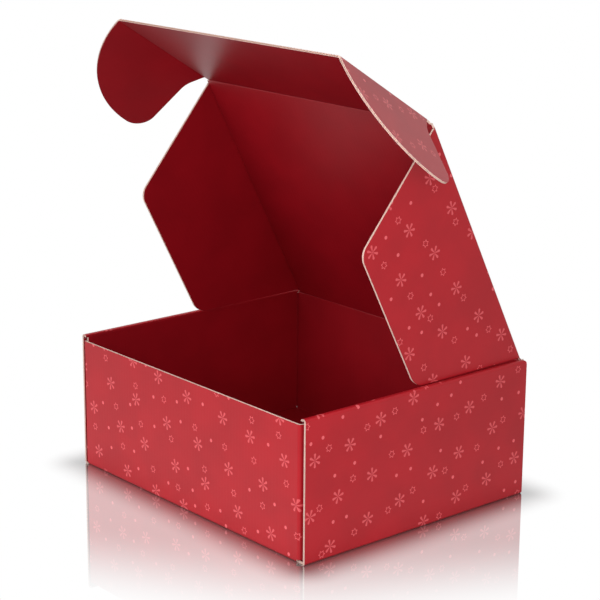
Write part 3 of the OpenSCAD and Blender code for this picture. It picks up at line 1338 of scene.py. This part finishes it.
@dataclass(frozen=True)
class Snow:
    """The scattered winter print: flakes, outlined stars and dots, one to a cell."""

    cell: float = 15.4 * MM
    slant: float = 17.0
    origin: Place = (3.0, 3.0, 0.0)
    stray: float = 0.55
    flake_hold: float = 0.15
    stray_seed: Place = (37.0, 11.0, 5.0)
    spin_seed: Place = (5.0, 71.0, 9.0)
    flake_r: float = 5.0 * MM
    flake_ink: float = 0.74
    flake_heart: float = 0.4 * MM
    petal_root: float = 0.9 * MM
    petal_w: tuple[float, float] = (0.28 * MM, 0.92 * MM)
    star_r: float = 2.6 * MM
    star_line: float = 0.42 * MM
    dot_r: float = 1.25 * MM
    edge: float = 0.1 * MM
    dot_share: float = 0.6

    def share(self, pen: NodePen) -> Socket:
        """How much of a point is motif, from 0 to 1.

        Args:
            pen: Writes the material's nodes.

        Returns:
            The share.
        """
        feeds = {"Vector": pen.sheet(), "Angle": math.radians(self.slant)}
        lattice = pen.node("ShaderNodeVectorRotate", feeds, rotation_type="Z_AXIS")
        place = pen.vector("ADD", lattice.outputs[0], self.origin)
        scaled = pen.vector("SCALE", place, 1 / self.cell)
        cell = pen.vector("FLOOR", scaled)
        is_flake, is_star, is_dot = self.kinds(pen, cell)
        x, y = self.from_middle(pen, scaled, cell, is_flake)
        radius = pen.hypotenuse(x, y)
        chance = pen.random(pen.vector("ADD", cell, self.spin_seed)).outputs["Value"]
        spin = pen.math("MULTIPLY", chance, math.pi)
        angle = pen.math("ADD", pen.math("ARCTAN2", y, x), spin)
        sixth = pen.math("WRAP", angle, math.pi / 3, 0.0)
        folded = pen.math("ABSOLUTE", pen.math("SUBTRACT", sixth, math.pi / 6))
        along = pen.math("MULTIPLY", radius, pen.math("COSINE", folded))
        beside = pen.math("MULTIPLY", radius, pen.math("SINE", folded))
        shapes = (
            (is_flake, self.petal(pen, along, beside, radius), self.flake_ink),
            (is_star, self.star(pen, along, beside), 1.0),
            (is_dot, pen.math("SUBTRACT", radius, self.dot_r), 1.0),
        )
        total: Value = 0.0
        for chosen, distance, ink in shapes:
            inside = pen.spread(distance, -self.edge, self.edge, ink, 0.0)
            total = pen.math("ADD", total, pen.math("MULTIPLY", chosen, inside))
        return total

    def kinds(self, pen: NodePen, cell: Socket) -> tuple[Socket, Socket, Socket]:
        """Deals out the motifs: every fourth cell of a row a flake, and a star between two.

        Args:
            pen: Writes the material's nodes.
            cell: Column and row of the cell.

        Returns:
            Whether the cell has a flake, a star and a dot, as 0 or 1.
        """
        chance = pen.random(cell).outputs["Value"]
        column, row, _ = pen.split(cell)
        turn_of = pen.math("FLOORED_MODULO", pen.math("MULTIPLY_ADD", row, 2.0, column), 4.0)
        is_flake = pen.math("LESS_THAN", turn_of, 0.5)
        is_star = pen.math("COMPARE", turn_of, 2.0, 0.5)
        between = pen.math("SUBTRACT", pen.math("SUBTRACT", 1.0, is_flake), is_star)
        is_dot = pen.math("MULTIPLY", between, pen.math("LESS_THAN", chance, self.dot_share))
        return is_flake, is_star, is_dot

    def from_middle(
        self, pen: NodePen, scaled: Socket, cell: Socket, is_flake: Socket
    ) -> tuple[Socket, Socket]:
        """Measures from the middle of the cell's motif, which strays from the cell's own.

        Args:
            pen: Writes the material's nodes.
            scaled: The point's place, in cells.
            cell: Column and row of the cell.
            is_flake: Whether the motif is a flake.

        Returns:
            The point's place across and along.
        """
        local = pen.vector("SUBTRACT", pen.vector("FRACTION", scaled), (0.5, 0.5, 0.0))
        chance = pen.random(pen.vector("ADD", cell, self.stray_seed)).outputs["Color"]
        reach = pen.math("SUBTRACT", self.stray, pen.math("MULTIPLY", is_flake, self.flake_hold))
        off = pen.vector("SCALE", pen.vector("SUBTRACT", chance, (0.5, 0.5, 0.5)), reach)
        moved = pen.vector("SUBTRACT", local, off)
        return pen.split(pen.vector("SCALE", moved, self.cell))[:2]

    def petal(self, pen: NodePen, along: Value, beside: Value, radius: Value) -> Socket:
        """Distance to a club-shaped petal or to the flake's middle point.

        Args:
            pen: Writes the material's nodes.
            along: Place along the petal.
            beside: Place beside its middle line.
            radius: Distance from the flake's middle.

        Returns:
            The distance, below 0 inside.
        """
        root, tip = self.petal_root, self.flake_r - self.petal_w[1]
        share = pen.math("DIVIDE", pen.math("SUBTRACT", along, root), tip - root, clamp=True)
        gone = pen.math("SUBTRACT", along, pen.math("MULTIPLY_ADD", share, tip - root, root))
        off = pen.hypotenuse(gone, beside)
        width = pen.math("MULTIPLY_ADD", share, self.petal_w[1] - self.petal_w[0], self.petal_w[0])
        petal = pen.math("SUBTRACT", off, width)
        return pen.math("MINIMUM", petal, pen.math("SUBTRACT", radius, self.flake_heart))

    def star(self, pen: NodePen, along: Value, beside: Value) -> Socket:
        """Distance to the line of an outlined six-point star.

        Args:
            pen: Writes the material's nodes.
            along: Place along the middle line of a point.
            beside: Place beside it.

        Returns:
            The distance, below 0 inside the line.
        """
        slanted = pen.math("MULTIPLY", beside, math.sqrt(3) / 2)
        rim = pen.math("ADD", pen.math("MULTIPLY", along, 0.5), slanted)
        off = pen.math("ABSOLUTE", pen.math("SUBTRACT", rim, self.star_r / 2))
        return pen.math("SUBTRACT", off, self.star_line / 2)


@dataclass(frozen=True)
class Ink:
    """A printed or plain inked liner with a satin film."""

    name: str
    base: Colour
    motif: Colour | None = None
    roughness: float = 0.4
    rough_swing: float = 0.1
    rough_grain: float = 900.0
    cloud_grain: float = 28.0
    cloud_detail: float = 3.0
    cloud_range: tuple[float, float] = (0.3, 0.7)
    cloud_depth: float = 0.12
    gloss: float = 0.3

    def make(self) -> bpy.types.Material:
        """Builds the material.

        Returns:
            The material.
        """
        pen = NodePen(bpy.data.materials.new(self.name))
        sheet = pen.sheet()
        cloud = pen.spread(pen.noise(sheet, self.cloud_grain, self.cloud_detail), *self.cloud_range)
        base = pen.mix(pen.math("MULTIPLY", cloud, self.cloud_depth), self.base, BLACK)
        if self.motif:
            base = pen.mix(Snow().share(pen), base, self.motif)
        grain, smoothest = pen.noise(sheet, self.rough_grain), self.roughness - self.rough_swing / 2
        rough = pen.math("MULTIPLY_ADD", grain, self.rough_swing, smoothest)
        feeds = {
            "Base Color": base, "Roughness": rough, "Normal": PaperFeel().normal(pen),
            "Specular IOR Level": self.gloss,
        }
        pen.end(pen.node("ShaderNodeBsdfPrincipled", feeds).outputs[0])
        return pen.owner


@dataclass(frozen=True)
class RawEdge:
    """The cut edge of the board: ink at its rims, pale liners and a browner medium."""

    name: str = "raw_edge"
    medium: tuple[Colour, Colour] = (colour(238, 202, 184), colour(250, 222, 206))
    pulp: tuple[Colour, Colour] = (colour(244, 218, 212), colour(255, 238, 232))
    rim: Colour = colour(170, 40, 48)
    rim_share: float = 0.8
    liner_from: tuple[float, float] = (0.3, 0.38)
    rim_from: tuple[float, float] = (0.42, 0.47)
    grain: float = 1800.0
    grain_detail: float = 4.0
    roughness: float = 0.8

    def make(self) -> bpy.types.Material:
        """Builds the material.

        Returns:
            The material.
        """
        pen = NodePen(bpy.data.materials.new(self.name))
        through = pen.node("ShaderNodeAttribute", attribute_name=THROUGH).outputs["Fac"]
        middle = pen.math("ABSOLUTE", pen.math("SUBTRACT", through, 0.5))
        fibre = pen.noise(pen.sheet(), self.grain, self.grain_detail)
        medium, pulp = pen.mix(fibre, *self.medium), pen.mix(fibre, *self.pulp)
        board = pen.mix(pen.spread(middle, *self.liner_from), medium, pulp)
        inked = pen.math("MULTIPLY", pen.spread(middle, *self.rim_from), self.rim_share)
        feeds = {"Base Color": pen.mix(inked, board, self.rim), "Roughness": self.roughness}
        pen.end(pen.node("ShaderNodeBsdfPrincipled", feeds).outputs[0])
        return pen.owner


def board_finishes() -> Finishes:
    """Makes the board's materials.

    Returns:
        The materials, in the order of Face.
    """
    # The inside red is a darker copy of the outside red, so it carries painted shade; the inside
    # has the same ink without the print.
    outside, inside, motif = colour(190, 26, 38), colour(152, 14, 26), colour(242, 104, 110)
    finishes = (
        Ink("printed_face", outside, motif), Ink("inner_face_painted_shade", inside),
        RawEdge(), Ink("plain_face_painted_shade", inside),
    )
    return [finish.make() for finish in finishes]


@dataclass(frozen=True)
class TableTop:
    """White lacquer that mirrors the box close to its foot and has a contact shadow painted into
    its colour there; lengths are in metres.
    """

    name: str = "white_table"
    # foot and the next field paint a contact shadow into the table's colour: dark at the box's
    # foot, paler past this distance.
    foot: float = 0.03
    painted_foot_shadow: tuple[float, float] = (0.18, 0.6)
    glow_from: float = 0.034
    mirror_lean: float = 0.6
    mirror_reach: tuple[float, float] = (0.13, 0.31)
    mirror_share: float = 0.54
    mirror_fade: tuple[float, float] = (0.1, 0.3)
    skim: tuple[float, float] = (0.1, 0.6)

    def make(self, box: Box, before: Place) -> bpy.types.Material:
        """Builds the material.

        Args:
            box: Sizes of the box.
            before: Direction along the table from the box to the viewer's side.

        Returns:
            The material.
        """
        pen = NodePen(bpy.data.materials.new(self.name))
        place = pen.node("ShaderNodeTexCoord").outputs["Object"]
        half = (box.half_w, box.half_d, 0.0)
        beyond = pen.vector("SUBTRACT", pen.vector("ABSOLUTE", place), half)
        away = pen.vector("LENGTH", pen.vector("MAXIMUM", beyond, (0.0, 0.0, 0.0)))
        mirror = self.mirroring(pen, away, pen.vector("DOT_PRODUCT", place, before))
        # Painted contact shadow: the diffuse colour darkens from 0.6 to 0.18 towards the box's
        # foot.
        painted_contact_shadow = pen.spread(away, 0.0, self.foot, *self.painted_foot_shadow)
        lit = pen.node("ShaderNodeBsdfDiffuse", {0: painted_contact_shadow})
        glow = pen.node("ShaderNodeEmission", {0: WHITE})
        seen = pen.math("MULTIPLY", pen.watched(), pen.spread(away, 0.0, self.glow_from))
        white = pen.blend(seen, lit.outputs[0], glow.outputs[0])
        gloss = pen.node("ShaderNodeBsdfGlossy", {"Color": WHITE, "Roughness": 0.0})
        pen.end(pen.blend(mirror, white, gloss.outputs[0]))
        return pen.owner

    def mirroring(self, pen: NodePen, away: Socket, towards: Socket) -> Socket:
        """How much the table mirrors, from 0 to 1.

        Args:
            pen: Writes the material's nodes.
            away: Distance from the box.
            towards: Distance towards the viewer.

        Returns:
            The share.
        """
        reach = pen.math("MULTIPLY_ADD", away, self.mirror_lean, towards)
        ahead = pen.spread(reach, *self.mirror_reach, self.mirror_share, 0.0)
        close = pen.spread(away, *self.mirror_fade, 1.0, 0.0)
        skimmed = pen.spread(pen.node("ShaderNodeLayerWeight").outputs["Facing"], *self.skim)
        return pen.math("MULTIPLY", pen.math("MULTIPLY", ahead, close), skimmed)


@dataclass(frozen=True)
class Lamp:
    """A soft square light, with its place and size in metres and its power in watts."""

    name: str
    at: Place
    size: float
    power: float

    def hang(self, aim: Place) -> None:
        """Hangs the light.

        Args:
            aim: The point that it looks at.
        """
        light = bpy.data.lights.new(self.name, "AREA")
        light.shape, light.size, light.energy = "SQUARE", self.size, self.power
        lamp = bpy.data.objects.new(self.name, light)
        lamp.location = self.at
        lamp.rotation_mode = "QUATERNION"
        lamp.rotation_quaternion = (Vector(aim) - Vector(self.at)).to_track_quat("-Z", "Y")
        put_in(lamp)


@dataclass(frozen=True)
class Studio:
    """The white table, the soft lights and the camera."""

    view_from: float = 49.308
    view_height: float = 15.359
    view_roll: float = 0.459
    view_distance: float = 1341.4 * MM
    view_target: Place = (-0.72 * MM, 0.0, 134.42 * MM)
    lens: float = 113.106
    sensor: float = 36.0
    clip: tuple[float, float] = (0.05, 50.0)
    reach: float = 6.0
    room_light: float = 0.36
    room_seen: float = 1.0
    aim: Place = (0.0, 0.0, 0.1)
    lamps: tuple[Lamp, ...] = (
        Lamp("front_light", (-0.45, -1.45, 0.75), 1.0, 11.0),
        Lamp("side_light", (0.54, -0.36, 0.34), 0.3, 1.95),
    )

    def before(self) -> Place:
        """The direction along the table from the box to the viewer's side."""
        a = math.radians(self.view_from)
        return (math.sin(a), -math.cos(a), 0.0)

    def floor(self, box: Box) -> None:
        """Lays the white table, which mirrors the box faintly close to it and has a contact shadow
        painted round its foot.

        Args:
            box: Sizes of the box.
        """
        bm = bmesh.new()
        bmesh.ops.create_grid(bm, x_segments=1, y_segments=1, size=self.reach)
        mesh = bpy.data.meshes.new("table")
        bm.to_mesh(mesh)
        bm.free()
        table = put_in(bpy.data.objects.new("table", mesh))
        mesh.materials.append(TableTop().make(box, self.before()))
        table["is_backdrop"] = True

    def world(self) -> None:
        """Sets up a plain pale room, which lights the box less than it is seen."""
        pen = NodePen(bpy.data.worlds.new("room"))
        level = pen.spread(pen.watched(), 0.0, 1.0, self.room_light, self.room_seen)
        pen.end(pen.node("ShaderNodeBackground", {"Color": WHITE, "Strength": level}).outputs[0])
        bpy.context.scene.world = pen.owner

    def camera(self) -> None:
        """Sets the camera where the photograph was taken."""
        a, e = math.radians(self.view_from), math.radians(self.view_height)
        back = Vector((math.sin(a) * math.cos(e), -math.cos(a) * math.cos(e), math.sin(e)))
        right = (-back).cross(Vector((0, 0, 1))).normalized()
        up = right.cross(-back)
        facing = Matrix((right, up, back)).transposed().to_4x4()
        data = bpy.data.cameras.new("camera")
        data.lens, data.sensor_width = self.lens, self.sensor
        data.clip_start, data.clip_end = self.clip
        camera = bpy.data.objects.new("camera", data)
        place = Matrix.Translation(Vector(self.view_target) + back * self.view_distance)
        camera.matrix_world = place @ facing @ turn("Z", self.view_roll)
        bpy.context.scene.camera = put_in(camera)

    def build(self, box: Box) -> None:
        """Sets up everything round the box.

        Args:
            box: Sizes of the box.
        """
        self.floor(box)
        self.world()
        for lamp in self.lamps:
            lamp.hang(self.aim)
        self.camera()
        bpy.context.scene.view_settings.view_transform = "Standard"


def corners(bounds: tuple[Vector, Vector]) -> list[list[float]]:
    """Bounds as plain lists."""
    return [list(point) for point in bounds]


def main() -> None:
    """Builds the box in its studio."""
    logging.basicConfig(level=logging.INFO, format="%(message)s")
    cad = corners(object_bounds())
    box = Box.from_frame()
    finishes = board_finishes()
    Studio().build(box)
    Tray(box, finishes).build()
    Lid(box, finishes).build()
    {"cad": cad, "visual": corners(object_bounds())}


if __name__ == "__main__":
    main()
